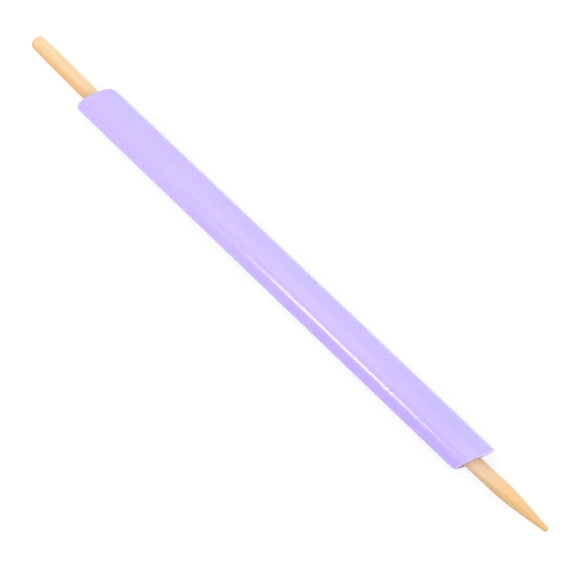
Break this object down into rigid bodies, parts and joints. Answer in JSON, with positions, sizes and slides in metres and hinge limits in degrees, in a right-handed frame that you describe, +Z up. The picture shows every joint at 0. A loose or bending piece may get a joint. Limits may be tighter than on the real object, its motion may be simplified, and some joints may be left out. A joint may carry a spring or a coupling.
{
  "type": "loop turner",
  "caption": "Fabric tube turner: an open plastic tube with slanted mouths, and a loose tapered wooden rod that pushes the folded-in fabric through it.",
  "frame": {"origin": "under the middle of the rod, on the plane that the tube rests on", "axes": "+X along the tube towards the rod's pointed end, +Z up from the flat that the tube rests on"},
  "size_m": [0.2788, 0.0158, 0.0141],
  "materials": {
    "lavender_plastic": "smooth glossy moulded plastic, opaque pale lavender",
    "pale_wood": "plain sanded pale hardwood, unvarnished, grain along the rod"
  },
  "bodies": {
    "tube": {"turning_tube": "lavender_plastic"},
    "rod": {"push_rod": "pale_wood"}
  },
  "joints": [
    {"name": "rod_slide", "type": "slide", "parent": "tube", "child": "rod", "axis": [1, 0, 0], "range_m": [-0.25, 0.25]}
  ]
}
